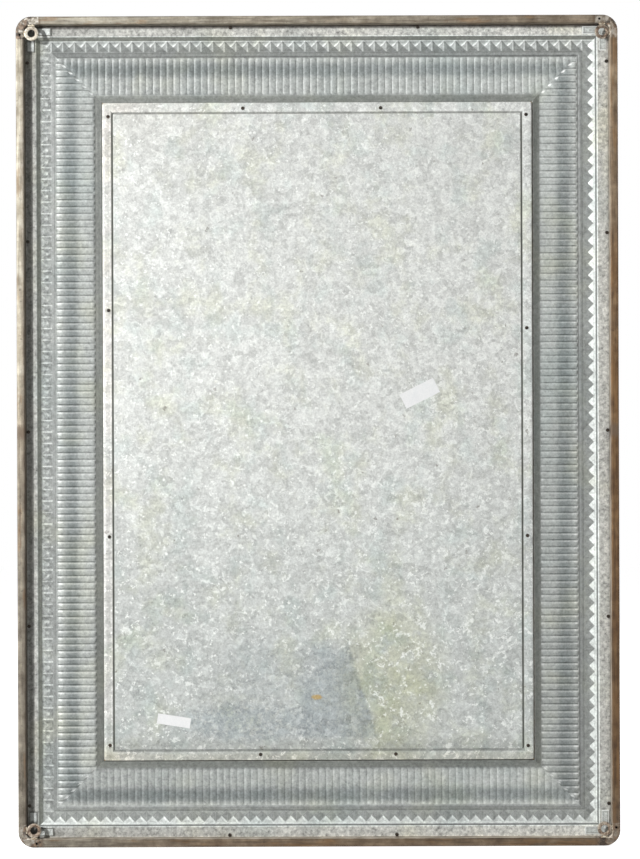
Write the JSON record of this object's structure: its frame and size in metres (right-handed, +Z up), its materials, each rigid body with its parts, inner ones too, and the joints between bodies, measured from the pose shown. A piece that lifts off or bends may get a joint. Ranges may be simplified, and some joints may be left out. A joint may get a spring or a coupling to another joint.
{
  "type": "wall mirror",
  "caption": "Rectangular wall mirror in a wide pressed-tin frame with flutes and pyramids, held in a steel tube rail with welded hanging rings",
  "frame": {"origin": "centre of the overall box: mid-width, mid-height and mid-depth of the rail", "axes": "+Z up the wall, -Y out of the glass into the room, +Y to the wall, +X to the right for someone who looks into the glass"},
  "size_m": [0.736, 0.025, 1.016],
  "materials": {
    "rail": "bare steel tube and bar with a brown patina",
    "ring": "galvanised, dulled by heat",
    "weld": "rough weld bead with a brown edge",
    "tin": "galvanised pressed sheet, satin",
    "plate": "galvanised flat sheet with spangle",
    "batten": "raw pine",
    "board": "hardboard",
    "mirror": "silvered glass",
    "screw": "blackened pan-head screw",
    "label": "blank white paper sticker"
  },
  "bodies": {
    "root": {"rail_left_upper": "rail", "rail_left_lower": "rail", "rail_right_upper": "rail", "rail_right_lower": "rail", "rail_top": "rail", "rail_bottom": "rail", "corner_top_left": "rail", "corner_top_right": "rail", "corner_bottom_left": "rail", "corner_bottom_right": "rail", "ring_top_left": "ring", "ring_top_right": "ring", "ring_bottom_left": "ring", "ring_bottom_right": "ring", "weld_top_left": "weld", "weld_top_right": "weld", "weld_bottom_left": "weld", "weld_bottom_right": "weld", "ledge_left": "rail", "ledge_right": "rail", "ledge_top": "rail", "ledge_bottom": "rail", "moulding_left": "tin", "moulding_right": "tin", "moulding_top": "tin", "moulding_bottom": "tin", "brace_top_left": "tin", "brace_top_right": "tin", "brace_bottom_left": "tin", "brace_bottom_right": "tin", "batten_left": "batten", "batten_right": "batten", "batten_top": "batten", "batten_bottom": "batten", "mirror_glass": "mirror", "backing_board": "board", "back_plate": "plate", "strip_screws": "screw", "plate_screws": "screw", "upper_label": "label", "lower_label": "label"}
  },
  "joints": []
}
